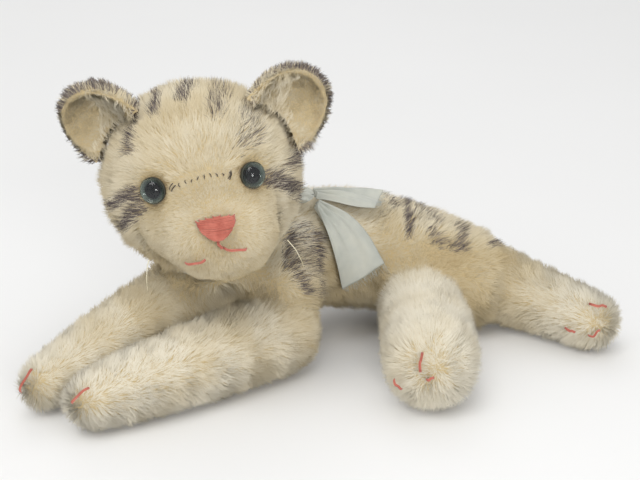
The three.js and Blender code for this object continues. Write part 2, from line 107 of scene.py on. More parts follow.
def along_surface(direction, normals):
    """The part of a direction that lies in each surface's tangent plane."""
    direction = np.broadcast_to(np.asarray(direction, float), normals.shape)
    return direction - dot(direction, normals)[:, None] * normals


def ripple(points, wavelength, seed):
    """Smooth noise from -1 to 1, with hills about a wavelength apart."""
    rng = np.random.default_rng(seed)
    total = np.zeros(len(points))
    for _ in range(8):
        direction = unit(rng.normal(size=3))
        pitch = wavelength * rng.uniform(0.7, 1.4)
        total += np.sin(points @ direction * (2 * math.pi / pitch) + rng.uniform(0, 2 * math.pi))
    return np.clip(total / 3, -1, 1)


def middle_of(node):
    low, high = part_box(node)
    return np.array((low + high) / 2)


def points_of(mesh):
    points = np.empty(len(mesh.vertices) * 3)
    mesh.vertices.foreach_get("co", points)
    return points.reshape(-1, 3)


def node_points(node):
    return points_of(frame["nodes"][node].data)


def surface_tree(node):
    mesh = frame["nodes"][node].data
    return BVHTree.FromPolygons([v.co for v in mesh.vertices], [p.vertices for p in mesh.polygons])


def near_line(points, line):
    """Distance from each point to a line through several points."""
    best = np.full(len(points), 1e9)
    for start, end in zip(line[:-1], line[1:]):
        run = end - start
        share = np.clip(((points - start) @ run) / (run @ run), 0, 1)
        best = np.minimum(best, np.linalg.norm(points - start - share[:, None] * run, axis=1))
    return best


def curve_through(stops, count):
    """`count` points spread along a smooth curve through the stops."""
    stops = np.asarray(stops, float)
    padded = np.vstack([2 * stops[0] - stops[1], stops, 2 * stops[-1] - stops[-2]])
    places = np.linspace(0, len(stops) - 1, count)
    found = []
    for place in places:
        index = min(int(place), len(stops) - 2)
        t = place - index
        a, b, c, d = padded[index:index + 4]
        found.append(0.5 * (2 * b + (c - a) * t + (2 * a - 5 * b + 4 * c - d) * t * t
                            + (3 * b - a - 3 * c + d) * t ** 3))
    return np.array(found)


def new_object(name, mesh, material):
    thing = bpy.data.objects.new(name, mesh)
    scene.collection.objects.link(thing)
    mesh.materials.clear()
    mesh.materials.append(material)
    mesh.polygons.foreach_set("use_smooth", [True] * len(mesh.polygons))
    return thing


def mesh_from(name, points, faces):
    mesh = bpy.data.meshes.new(name)
    mesh.from_pydata([tuple(p) for p in points], [], [tuple(f) for f in faces])
    mesh.update()
    return mesh


def applied(thing):
    """Replaces the object's mesh by what its modifiers make of it."""
    graph = bpy.context.evaluated_depsgraph_get()
    mesh = bpy.data.meshes.new_from_object(thing.evaluated_get(graph))
    thing.modifiers.clear()
    thing.data = mesh
    return thing


def grid_faces(rows, columns, wrap=False):
    """Quads of a grid of points laid out row by row; wrap joins its last column to its first."""
    faces = []
    for row in range(rows - 1):
        for column in range(columns if wrap else columns - 1):
            after = (column + 1) % columns
            faces.append((row * columns + column, row * columns + after,
                          (row + 1) * columns + after, (row + 1) * columns + column))
    return faces


def tube(route, radii, sides=8):
    """Points and faces of a round tube along a route, closed at both ends."""
    route = np.asarray(route, float)
    radii = np.broadcast_to(radii, len(route))
    runs = unit(np.gradient(route, axis=0))
    side = unit(np.cross(runs[0], (0.31, 0.17, 0.94)))
    points = []
    for place, run, radius in zip(route, runs, radii):
        side = unit(side - (side @ run) * run)
        other = np.cross(run, side)
        for k in range(sides):
            angle = 2 * math.pi * k / sides
            points.append(place + radius * (math.cos(angle) * side + math.sin(angle) * other))
    faces = grid_faces(len(route), sides, wrap=True)
    last = (len(route) - 1) * sides
    faces.append(tuple(range(sides))[::-1])
    faces.append(tuple(last + k for k in range(sides)))
    return np.array(points), faces


def merged(parts):
    """Several (points, faces) shapes as one."""
    points, faces, count = [], [], 0
    for some_points, some_faces in parts:
        points.append(some_points)
        faces += [tuple(i + count for i in face) for face in some_faces]
        count += len(some_points)
    return np.vstack(points), faces


# ---- Materials ------------------------------------------------------------------------------

PILE_UV = "OFBake"   # across: a strand's tone; up: its place from root to tip

TONES = [   # place on the tone scale, colour at the root, colour at the tip
    (0.00, (0.72, 0.65, 0.49), (0.81, 0.76, 0.64)),
    (0.25, (0.60, 0.51, 0.33), (0.70, 0.62, 0.46)),
    (0.50, (0.48, 0.37, 0.20), (0.57, 0.47, 0.29)),
    (0.62, (0.36, 0.25, 0.12), (0.44, 0.33, 0.18)),
    (0.78, (0.40, 0.34, 0.27), (0.22, 0.19, 0.18)),
    (1.00, (0.14, 0.11, 0.11), (0.026, 0.023, 0.029)),
]
GREY, DARK = (tone for tone, _, _ in TONES[-2:])


def bare_material(name, **sockets):
    """A Principled material with these values on its own sockets."""
    material = bpy.data.materials.new(name)
    material.use_nodes = True
    shader = material.node_tree.nodes["Principled BSDF"]
    for socket, value in sockets.items():
        shader.inputs[socket.replace("_", " ")].default_value = value
    return material, material.node_tree, shader


def node(tree, kind, **settings):
    made = tree.nodes.new(kind)
    for key, value in settings.items():
        if key in made.inputs:
            made.inputs[key].default_value = value
        else:
            setattr(made, key, value)
    return made


def ramp(tree, share, stops, smooth=False):
    """A colour ramp read at `share`; stops are (place, colour) pairs."""
    made = tree.nodes.new("ShaderNodeValToRGB")
    if smooth:
        made.color_ramp.interpolation = "EASE"
    elements = made.color_ramp.elements
    for element, (place, colour) in zip((elements[0], elements[-1]), (stops[0], stops[-1])):
        element.position = place
        element.color = (*colour, 1)
    for place, colour in stops[1:-1]:
        elements.new(place).color = (*colour, 1)
    tree.links.new(share, made.inputs["Fac"])
    return made.outputs["Color"]


def object_places(tree):
    return tree.nodes.new("ShaderNodeTexCoord").outputs["Object"]


def noise(tree, scale, detail=3.0, roughness=0.55, places=None):
    made = node(tree, "ShaderNodeTexNoise", Scale=scale, Detail=detail, Roughness=roughness)
    tree.links.new(places or object_places(tree), made.inputs["Vector"])
    return made.outputs["Fac"]


def bump(tree, shader, height, distance, strength=1.0):
    made = node(tree, "ShaderNodeBump", Distance=distance, Strength=strength)
    tree.links.new(height, made.inputs["Height"])
    tree.links.new(made.outputs["Normal"], shader.inputs["Normal"])


def rough_between(tree, shader, share, low, high):
    spread = node(tree, "ShaderNodeMapRange")
    spread.inputs["To Min"].default_value = low
    spread.inputs["To Max"].default_value = high
    tree.links.new(share, spread.inputs["Value"])
    tree.links.new(spread.outputs["Result"], shader.inputs["Roughness"])


def pile_material(name):
    """Mohair strands: their tone and their shade from root to tip are read from the pile's map."""
    material, tree, shader = bare_material(name, Specular_IOR_Level=0.0)
    place = node(tree, "ShaderNodeUVMap", uv_map=PILE_UV)
    split = tree.nodes.new("ShaderNodeSeparateXYZ")
    tree.links.new(place.outputs["UV"], split.inputs["Vector"])
    roots = ramp(tree, split.outputs["X"], [(tone, root) for tone, root, _ in TONES])
    tips = ramp(tree, split.outputs["X"], [(tone, tip) for tone, _, tip in TONES])
    share = ramp(tree, split.outputs["Y"], [(0.0, (0, 0, 0)), (0.45, (0.7,) * 3), (1.0, (1, 1, 1))])
    mix = node(tree, "ShaderNodeMix", data_type="RGBA")
    tree.links.new(share, mix.inputs["Factor"])
    tree.links.new(roots, mix.inputs["A"])
    tree.links.new(tips, mix.inputs["B"])
    tree.links.new(mix.outputs["Result"], shader.inputs["Base Color"])
    rough_between(tree, shader, split.outputs["Y"], 0.9, 0.6)
    return material


def backing_material(name, dark, light):
    """The woven cloth that the pile grows from."""
    material, tree, shader = bare_material(name, Specular_IOR_Level=0.1)
    weave = node(tree, "ShaderNodeTexWave", Scale=900.0, Distortion=2.0)
    places = object_places(tree)
    tree.links.new(places, weave.inputs["Vector"])
    patches = noise(tree, 90.0, places=places)
    mix = node(tree, "ShaderNodeMath", operation="MULTIPLY")
    tree.links.new(weave.outputs["Fac"], mix.inputs[0])
    tree.links.new(patches, mix.inputs[1])
    threads = ramp(tree, mix.outputs["Value"], [(0.1, dark), (0.6, light)])
    tree.links.new(threads, shader.inputs["Base Color"])
    rough_between(tree, shader, patches, 0.85, 1.0)
    bump(tree, shader, weave.outputs["Fac"], 0.2 * MM, 0.6)
    return material


PILE = pile_material("mohair_pile")
BACKING = backing_material("mohair_backing", (0.60, 0.47, 0.26), (0.78, 0.66, 0.42))


# ---- Padded skins ---------------------------------------------------------------------------

SKIN_VOXEL = 3.2 * MM
EAR_VOXEL = 1.1 * MM
SWELL_FRAMES = 20
SWELL_CAP = 2.2 * MM


def joined_nodes(name, nodes, material):
    """A new object that holds a copy of these CAD nodes' meshes."""
    shape = bmesh.new()
    for each in nodes:
        shape.from_mesh(frame["nodes"][each].data)
    mesh = bpy.data.meshes.new(name)
    shape.to_mesh(mesh)
    shape.free()
    return new_object(name, mesh, material)


def keep_outer_shell(mesh):
    """Deletes every separate shell but the one with the widest box."""
    shape = bmesh.new()
    shape.from_mesh(mesh)
    waiting = set(shape.verts)
    shells = []
    while waiting:
        front = [waiting.pop()]
        shell = list(front)
        while front:
            found = []
            for vertex in front:
                for edge in vertex.link_edges:
                    other = edge.other_vert(vertex)
                    if other in waiting:
                        waiting.discard(other)
                        found.append(other)
            shell += found
            front = found
        shells.append(shell)

    def width(shell):
        return max(max(v.co[k] for v in shell) - min(v.co[k] for v in shell) for k in range(3))

    kept = max(shells, key=width)
    lost = [v for shell in shells if shell is not kept for v in shell]
    bmesh.ops.delete(shape, geom=lost, context="VERTS")
    shape.to_mesh(mesh)
    shape.free()


def remeshed(thing, voxel):
    remesh = thing.modifiers.new("remesh", "REMESH")
    remesh.mode = "VOXEL"
    remesh.voxel_size = voxel
    applied(thing)
    keep_outer_shell(thing.data)
    return thing


def smoothed(thing, rounds):
    smooth = thing.modifiers.new("smooth", "SMOOTH")
    smooth.factor = 0.5
    smooth.iterations = rounds
    return applied(thing)


def vertex_normals(mesh):
    normals = np.empty(len(mesh.vertices) * 3)
    mesh.vertices.foreach_get("normal", normals)
    return normals.reshape(-1, 3)


def set_points(mesh, points):
    mesh.vertices.foreach_set("co", np.asarray(points, np.float32).ravel())
    mesh.update()


def swollen(thing):
    """Cloth simulation: the cover is blown up by its stuffing and settles in soft folds."""
    start = points_of(thing.data)
    cloth = thing.modifiers.new("cloth", "CLOTH")
    cloth.settings.quality = 5
    cloth.settings.mass = 0.3
    cloth.settings.use_pressure = True
    cloth.settings.uniform_pressure_force = 4
    cloth.settings.effector_weights.gravity = 0
    cloth.point_cache.frame_start = 1
    cloth.point_cache.frame_end = SWELL_FRAMES
    for at_frame in range(1, SWELL_FRAMES + 1):
        scene.frame_set(at_frame)
    applied(thing)
    scene.frame_set(1)
    moved = points_of(thing.data) - start
    far = np.linalg.norm(moved, axis=1, keepdims=True)
    set_points(thing.data, start + moved * np.minimum(1, SWELL_CAP / np.maximum(far, 1e-9)))
    return thing


def skin(name, body, nodes, depth, voxel=SKIN_VOXEL, rounds=4, closing=0.0, balls=()):
    """A stuffed piece's cloth: its CAD solids as one closed form, sunk by the depth of its pile.
    closing shuts gaps up to twice as wide; balls are (middle, radius) pairs that belong to it."""
    thing = joined_nodes(name, nodes, BACKING)
    if balls:
        add_balls(thing.data, balls)
    set_points(thing.data, points_of(thing.data) + vertex_normals(thing.data) * closing)
    remeshed(thing, voxel)
    deep = depth(points_of(thing.data)) if callable(depth) else depth
    sunk = np.reshape(deep + closing, (-1, 1))
    set_points(thing.data, points_of(thing.data) - vertex_normals(thing.data) * sunk)
    smoothed(thing, rounds)
    swollen(thing)
    subdivide = thing.modifiers.new("subdivide", "SUBSURF")
    subdivide.levels = subdivide.render_levels = 1
    applied(thing)
    thing.data.polygons.foreach_set("use_smooth", [True] * len(thing.data.polygons))
    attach(thing, body)
    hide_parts(*nodes)
    return thing


def add_balls(mesh, balls):
    shape = bmesh.new()
    shape.from_mesh(mesh)
    for middle, radius in balls:
        bmesh.ops.create_icosphere(shape, subdivisions=3, radius=radius, matrix=Matrix.Translation(middle))
    shape.to_mesh(mesh)
    shape.free()


# ---- Pile -----------------------------------------------------------------------------------

STRAND_WIDTH = 0.25 * MM
STRAND_STEPS = 2
STRAND_SIDES = 3
STRANDS_PER_LEADER = 7      # strands that lean together in one tuft
SKIN_LIGHT_SHARE = 0.7      # how much of a strand's shading follows the skin under it
TAPER = np.array([1.0, 0.85])


class Sample:
    """Places picked at random over a skin, with the skin's normal at each."""

    def __init__(self, thing, per_mm2, rng):
        mesh = thing.data
        mesh.calc_loop_triangles()
        corners = np.empty(len(mesh.loop_triangles) * 3, np.int32)
        mesh.loop_triangles.foreach_get("vertices", corners)
        corners = corners.reshape(-1, 3)
        points, normals = points_of(mesh), vertex_normals(mesh)
        a, b, c = (points[corners[:, k]] for k in range(3))
        areas = np.linalg.norm(np.cross(b - a, c - a), axis=1) / 2
        count = int(areas.sum() / MM ** 2 * per_mm2)
        picked = rng.choice(len(areas), count, p=areas / areas.sum())
        u, v = rng.random(count), rng.random(count)
        flip = u + v > 1
        u[flip], v[flip] = 1 - u[flip], 1 - v[flip]
        shares = np.stack([1 - u - v, u, v], axis=1)[:, :, None]
        self.points = (points[corners[picked]] * shares).sum(1)
        self.normals = unit((normals[corners[picked]] * shares).sum(1))

    def __len__(self):
        return len(self.points)

    def keep(self, mask):
        self.points = self.points[mask]
        self.normals = self.normals[mask]
        return self


def tufted(paths, rng, share):
    """Draws each strand's tip towards the tip of the leader strand nearest to its root."""
    count = len(paths)
    leaders = np.arange(0, count, STRANDS_PER_LEADER)
    tree = KDTree(len(leaders))
    for order, leader in enumerate(leaders):
        tree.insert(paths[leader, 0], order)
    tree.balance()
    nearest = np.array([leaders[tree.find(root)[1]] for root in paths[:, 0]])
    climb = (np.arange(STRAND_STEPS + 1) / STRAND_STEPS) ** 1.5
    pull = share * rng.uniform(0.5, 1.0, count)[:, None] * climb
    return paths + (paths[nearest] - paths) * pull[:, :, None]


def strand_faces():
    """The faces of one strand: a thin three-sided spike, ring by ring up to its point."""
    faces = []
    tip = STRAND_SIDES * STRAND_STEPS
    for ring in range(0, tip, STRAND_SIDES):
        for corner in range(STRAND_SIDES):
            here, beside = ring + corner, ring + (corner + 1) % STRAND_SIDES
            if ring + STRAND_SIDES == tip:
                faces.append((here, beside, tip))
            else:
                faces.append((here, beside, beside + STRAND_SIDES, here + STRAND_SIDES))
    return faces


def grow_pile(name, body, sample, coat, seed, width=STRAND_WIDTH, tufts=0.45):
    """Mohair strands on a sample of places. coat gives each one's length, nap (the way it leans),
    lean in degrees, and tone."""
    rng = np.random.default_rng(seed)
    count = len(sample)
    roots, normals = sample.points, sample.normals
    length, nap, lean, tone = coat(sample, rng)
    wander = along_surface(rng.normal(size=(count, 3)), normals) * 0.35
    drift = np.stack([ripple(roots, 11 * MM, seed + k) for k in range(3)], axis=1)
    nap = unit(along_surface(nap, normals) + along_surface(drift, normals) * 0.45 + wander)
    length = length * rng.uniform(0.75, 1.1, count) * (1 + 0.12 * ripple(roots, 7 * MM, seed + 9))
    lean = np.radians(lean * (1 + 0.2 * ripple(roots, 9 * MM, seed + 5))) * rng.uniform(0.75, 1.25, count)

    paths = np.empty((count, STRAND_STEPS + 1, 3))
    paths[:, 0] = roots - normals * 0.4 * MM
    for step in range(STRAND_STEPS):
        angle = lean * (0.55 + 0.75 * step / (STRAND_STEPS - 1))
        run = normals * np.cos(angle)[:, None] + nap * np.sin(angle)[:, None]
        paths[:, step + 1] = paths[:, step] + run * (length / STRAND_STEPS)[:, None]
    paths = tufted(paths, rng, tufts)
    paths[:, :, 2] = np.maximum(paths[:, :, 2], 0.2 * MM)

    side = unit(np.cross(nap, normals))
    runs = unit(paths[:, -1] - paths[:, 0])
    under = unit(np.cross(runs, side))
    radius = (width / 2) * rng.uniform(0.7, 1.2, count)[:, None] * TAPER
    stride = STRAND_SIDES * STRAND_STEPS + 1
    points = np.empty((count, stride, 3))
    for corner in range(STRAND_SIDES):
        angle = 2 * math.pi * corner / STRAND_SIDES
        offset = side * math.cos(angle) + under * math.sin(angle)
        points[:, corner:-1:STRAND_SIDES] = paths[:, :-1] + offset[:, None, :] * radius[:, :, None]
    points[:, -1] = paths[:, -1]
    shading = unit(normals * SKIN_LIGHT_SHARE - under * (1 - SKIN_LIGHT_SHARE))

    strand = strand_faces()
    corners = (np.arange(count)[:, None] * stride + np.concatenate(strand)[None]).ravel()
    sizes = np.tile([len(face) for face in strand], count)
    starts = np.cumsum(sizes) - sizes

    tone = np.clip(tone + rng.normal(0, 0.035, count), 0.004, 0.996)
    up = np.append(np.repeat(np.arange(STRAND_STEPS) / STRAND_STEPS, STRAND_SIDES), 1.0)
    places = np.stack([np.repeat(tone, stride), np.tile(up * 0.98 + 0.01, count)], axis=1)

    mesh = bpy.data.meshes.new(name)
    mesh.vertices.add(count * stride)
    mesh.vertices.foreach_set("co", points.astype(np.float32).ravel())
    mesh.loops.add(len(corners))
    mesh.loops.foreach_set("vertex_index", corners.astype(np.int32))
    mesh.polygons.add(len(starts))
    mesh.polygons.foreach_set("loop_start", starts.astype(np.int32))
    mesh.update(calc_edges=True)
    layer = mesh.uv_layers.new(name=PILE_UV)
    layer.data.foreach_set("uv", places[corners].astype(np.float32).ravel())
    thing = new_object(name, mesh, PILE)
    mesh.normals_split_custom_set_from_vertices(np.repeat(shading, stride, axis=0).astype(np.float32))
    thing.visible_shadow = False   # light passes through mohair, so strands don't shade each other
    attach(thing, body)
    return thing


def striped(tone, sample, middle, stripes, rng):
    """Darkens the strands whose tips are on a stripe. A stripe is its points in millimetres from
    `middle`, its half width in millimetres and how dense it is from 0 to 1."""
    tone = tone.copy()
    points = sample.points + sample.normals * LONG_PILE_DEPTH
    for line, half_width, dense in stripes:
        line = middle + np.array(line, float) * MM
        far = near_line(points, line) / MM + 0.9 * ripple(points, 5 * MM, 71)
        chance = dense * (1 - smooth_step(half_width * 0.75, half_width * 1.45, far))
        inked = rng.random(len(points)) < chance
        tone[inked] = rng.uniform(GREY - 0.02, DARK, inked.sum())
    return tone


# ---- Body parts -----------------------------------------------------------------------------

HEAD = middle_of("head_cover")
EYE_MIDDLES = {side: middle_of(f"eye_{side}_iris") for side in ("left", "right")}
NOSE = middle_of("nose_embroidery")
MUZZLE_TREE = surface_tree("muzzle_panel")
CROWN_TREE = surface_tree("head_cover")

LONG_PILE_DEPTH = 4.6 * MM
SHORT_PILE_DEPTH = 2.6 * MM


def nearer_to(points, tree, other):
    return np.array([tree.find_nearest(point)[3] < other.find_nearest(point)[3] for point in points])


def muzzle_share(points):
    """1 on the muzzle panel, 0 on the rest of the head, with a short blend at the seam."""
    share = np.empty(len(points))
    for k, point in enumerate(points):
        to_muzzle = MUZZLE_TREE.find_nearest(point)[3]
        to_crown = CROWN_TREE.find_nearest(point)[3]
        share[k] = to_crown - to_muzzle
    return smooth_step(-1.0 * MM, 1.0 * MM, share)


def head_depth(points):
    return LONG_PILE_DEPTH + (SHORT_PILE_DEPTH - LONG_PILE_DEPTH) * muzzle_share(points)


def eye_distance(points):
    return np.min([np.linalg.norm(points - middle, axis=1) for middle in EYE_MIDDLES.values()], axis=0)


# Stripes, in millimetres from the middle of the head's and the body's box. Most points on the
# face and the near side are a ray-casting program's output, which carried places in the
# photograph onto the modelled skin. The others are listed.
HEAD_STRIPES = [
    ([(-27.2, 3, 33), (-27.7, -4.5, 30.6), (-28.2, -17.9, 25), (-28.2, -23.9, 19.4)], 2.2, 0.95),
    ([(-18.2, 0, 37), (-18, -8, 35.5), (-18, -16.6, 32.9)], 2.0, 0.9),
    ([(-3, 8, 40.5), (-4.9, -1.3, 40.1), (-7, -12.8, 38)], 2.6, 0.7),
    ([(6.8, -0.5, 39.9), (11, -3.6, 39.1), (7.4, -12.7, 38), (8.6, -20, 34.5)], 3.0, 0.5),
    ([(23, -6, 34.5), (23, -14.1, 31.3), (23.2, -22.7, 25.7), (19.8, -28.1, 23.6)], 4.2, 0.36),
    ([(42, 2, 8), (41.2, -3.8, 8.6), (37.7, -16.3, 9.7)], 2.6, 0.7),
    ([(29.1, -28.7, 8.4), (36.1, -21.9, 4.4), (40.4, -13.8, -3.2), (41, -4, -8)], 3.0, 0.8),
    ([(-25.8, -33.1, 3.7), (-32.8, -26.5, -3.8), (-38, -18, -7)], 2.6, 0.85),
    ([(-23.5, -34.6, -1.3), (-28.9, -28.1, -11.3), (-33, -20, -16)], 2.5, 0.85),
    ([(-14, 30, 26), (-13, 38, 12), (-13, 40, -2)], 3.0, 0.8),
    ([(0, 32, 27), (0, 40.5, 12), (0, 41, -4)], 3.2, 0.8),
    ([(14, 30, 26), (13, 38, 12), (13, 40, -2)], 3.0, 0.8),
]
BODY_STRIPES = [
    ([(-17, -25.4, 22.7), (-16.8, -39.4, 15.9), (-12.6, -41.3, 12.1), (-8, -42.9, 5.1)], 3.0, 0.85),
    ([(-3.3, -15.4, 18.9), (-4.2, -19.7, 10.8), (-2.5, -33.8, 1.2)], 2.6, 0.9),
    ([(-11, -20, 21), (-10, -30, 13)], 6.5, 0.4),
    ([(20, 32, 26), (25.2, 24.4, 24.1), (29.4, 16.7, 23.4)], 2.0, 0.5),
    ([(33, 30, 23.5), (34.8, 16.2, 22.7), (34.6, 7, 19.5), (34.5, -2, 14.7)], 1.9, 0.95),
    ([(36, 29, 22.5), (39.1, 21.1, 20.9), (47.4, 9.2, 19.5)], 3.0, 0.55),
    ([(44.3, -0.3, 16.4), (48.5, -5, 12.6), (58.2, -4.6, 10.5)], 2.6, 0.65),
    ([(58.7, 12, 17), (58.7, 3.8, 14.9), (58.2, -4.6, 10.5)], 2.2, 0.6),
    ([(79, 22, 4), (74, 8, 8), (72.1, 2.3, 8.3)], 1.8, 0.7),
    ([(-2, 50, 22), (8, 48, 12), (14, 48, -2)], 2.8, 0.8),
    ([(18, 50, 20), (26, 47, 10), (30, 46, -4)], 2.8, 0.8),
    ([(38, 42, 16), (44, 40, 6), (47, 38, -6)], 2.8, 0.8),
]
TAIL_STRIPES = [
    ([(x, -12, 6), (x, 0, 16), (x, 12, 6)], 2.6, 0.85) for x in (-32, -20, -8, 4, 16, 28)
]


def thread_distance(points, nodes):
    """Distance from each point to the nearest of these stitched nodes."""
    trees = [surface_tree(each) for each in nodes]
    return np.array([min(tree.find_nearest(point)[3] for tree in trees) for point in points])


FACE_THREADS = ["nose_embroidery", "philtrum_stitch", "mouth_right_stitch", "mouth_left_stitch"]


def ear_distance(points):
    return thread_distance(points, ["ear_left_lining", "ear_right_lining"])


def head_tone(sample, rng):
    points = sample.points
    # painted shade: the pile round each eye is darkened to stand in for the shade in the eye sockets
    socket = 1 - smooth_step(5 * MM, 9 * MM, eye_distance(points))
    # painted shade: the lower part of the head is darkened to stand in for the shade under the chin
    under = smooth_step(-14 * MM, -36 * MM, points[:, 2] - HEAD[2])
    tone = 0.27 + 0.08 * ripple(points, 25 * MM, 3) + 0.04 * ripple(points, 6 * MM, 4)
    return striped(tone + 0.34 * socket + 0.12 * under, sample, HEAD, HEAD_STRIPES, rng)


def crown_coat(sample, rng):
    """Long pile that stands away from the face, clipped round the eyes and the ears."""
    points, normals = sample.points, sample.normals
    by_eye = 1 - smooth_step(6 * MM, 12 * MM, eye_distance(points))
    by_ear = 1 - smooth_step(3 * MM, 9 * MM, ear_distance(points))
    length = 7.2 * (1 - 0.6 * by_eye) * (1 - 0.5 * by_ear) * MM
    nap = unit(along_surface(points - NOSE, normals)) + np.array([0, 0, -0.2])
    return length, nap, 38 + 14 * by_ear, head_tone(sample, rng)


def muzzle_coat(sample, rng):
    """Short clipped pile, shorter still beside the stitches."""
    points, normals = sample.points, sample.normals
    threads = 1 - smooth_step(1.5 * MM, 4 * MM, thread_distance(points, FACE_THREADS))
    length = 3.0 * (1 - 0.45 * threads) * MM
    nap = unit(along_surface(points - NOSE, normals)) + np.array([0, 0, -0.3])
    return length, nap, 46 + 10 * threads, head_tone(sample, rng) + 0.06


def body_coat(sample, rng):
    points = sample.points
    low, high = (np.array(corner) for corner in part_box("body_cover"))
    share = (points - low) / (high - low)
    length = np.full(len(points), 6.6 * MM)
    nap = np.array([0.8, 0.35, -0.45])
    lean = np.full(len(points), 34.0)
    # painted shade and yellowing: below the back the pile is darker, partly yellowed mohair on the belly
    # and partly painted shade on the side and under the body
    belly_shade_and_yellowing = 1 - smooth_step(0.5, 0.95, share[:, 2])
    # painted light: the chest, which lies in the head's shade, is made paler
    chest_painted_light = (1 - smooth_step(0.2, 0.45, share[:, 0])) * (1 - smooth_step(0.25, 0.6, share[:, 1]))
    tone = 0.04 + 0.38 * belly_shade_and_yellowing - 0.06 * chest_painted_light
    tone = tone + 0.09 * ripple(points, 28 * MM, 5) + 0.03 * ripple(points, 6 * MM, 6)
    tone = striped(tone, sample, middle_of("body_cover"), BODY_STRIPES, rng)
    return length, nap, lean, tone


def joint_of(limb):
    return next(joint for joint in frame["joints"] if joint["name"] == f"{limb}_flex")


def limb_run(limb):
    """The level way that a limb runs, from its joint to its tip."""
    x, y, _ = joint_of(limb)["axis"]
    return np.array([-y, x, 0.0])


def limb_root(limb):
    """The middle and radius of the round root that a limb flexes about."""
    middle = np.array(joint_of(limb)["pos_m"])
    return middle, (node_points(f"{limb}_cover") - middle) @ -limb_run(limb)


def limb_coat(limb, root_tone, tip_tone, length_mm):
    run = limb_run(limb)
    claws = [each for each in frame["nodes"] if each.startswith(f"{limb}_claw")]

    def coat(sample, rng):
        points = sample.points
        along = points @ run
        share = (along - along.min()) / (along.max() - along.min())
        length = np.full(len(points), length_mm * MM)
        if claws:
            length = length * (0.55 + 0.45 * smooth_step(3 * MM, 7 * MM, thread_distance(points, claws)))
        nap = np.broadcast_to(-run, points.shape)   # the limbs' pile leans towards the body
        lean = np.full(len(points), 34.0)
        tone = root_tone + (tip_tone - root_tone) * smooth_step(0.2, 0.85, share)
        tone = tone + 0.08 * ripple(points, 22 * MM, 7) + 0.03 * ripple(points, 6 * MM, 8)
        if limb == "tail":
            tone = striped(tone, sample, middle_of("tail_cover"), TAIL_STRIPES, rng)
        return length, nap, lean, tone
    return coat


LIMBS = {   # tone at the root, tone at the tip, pile in millimetres, depth of the pile
    "near_front_leg": (0.22, 0.04, 5.9, LONG_PILE_DEPTH),
    "far_front_leg": (0.28, 0.06, 5.8, LONG_PILE_DEPTH),
    "near_hind_leg": (0.06, 0.02, 6.4, LONG_PILE_DEPTH),
    "far_hind_leg": (0.34, 0.04, 5.8, LONG_PILE_DEPTH),
    "tail": (0.22, 0.20, 4.6, 2.8 * MM),
}


EYE_CLEARANCE = 4.9 * MM     # the bare ring that each eye sits in
NOSE_CLEARANCE = 2.0 * MM
FINE_STRAND = 0.2 * MM       # the clipped pile of the muzzle and the ear linings


def dress_head():
    nodes = ["head_cover", "muzzle_panel", "head_stuffing"]
    head = skin("head_skin", "head", nodes, head_depth)
    crown = Sample(head, 3.2, np.random.default_rng(11))
    crown.keep(eye_distance(crown.points) > EYE_CLEARANCE)
    crown.keep(muzzle_share(crown.points) < 0.5)
    grow_pile("crown_pile", "head", crown, crown_coat, 21)
    muzzle = Sample(head, 7, np.random.default_rng(12))
    muzzle.keep(eye_distance(muzzle.points) > EYE_CLEARANCE)
    muzzle.keep(thread_distance(muzzle.points, ["nose_embroidery"]) > NOSE_CLEARANCE)
    muzzle.keep(muzzle_share(muzzle.points) >= 0.5)
    grow_pile("muzzle_pile", "head", muzzle, muzzle_coat, 23, width=FINE_STRAND,
              tufts=0.25)


def dress_body():
    balls = []
    for limb in LIMBS:
        middle, reach = limb_root(limb)
        balls.append((middle, reach.max()))
    body = skin("body_skin", "torso", ["body_cover", "body_stuffing"], LONG_PILE_DEPTH,
                closing=2.2 * MM, balls=balls)
    sample = Sample(body, 2.8, np.random.default_rng(13))
    grow_pile("body_pile", "torso", sample, body_coat, 22, tufts=0.3)


def dress_limbs():
    for order, (limb, (root_tone, tip_tone, length_mm, depth)) in enumerate(LIMBS.items()):
        thing = skin(f"{limb}_skin", limb, [f"{limb}_cover", f"{limb}_stuffing"], depth)
        sample = Sample(thing, 3.6, np.random.default_rng(14 + order))
        coat = limb_coat(limb, root_tone, tip_tone, length_mm)
        grow_pile(f"{limb}_pile", limb, sample, coat, 30 + order, tufts=0.2)


# ---- Ears -----------------------------------------------------------------------------------

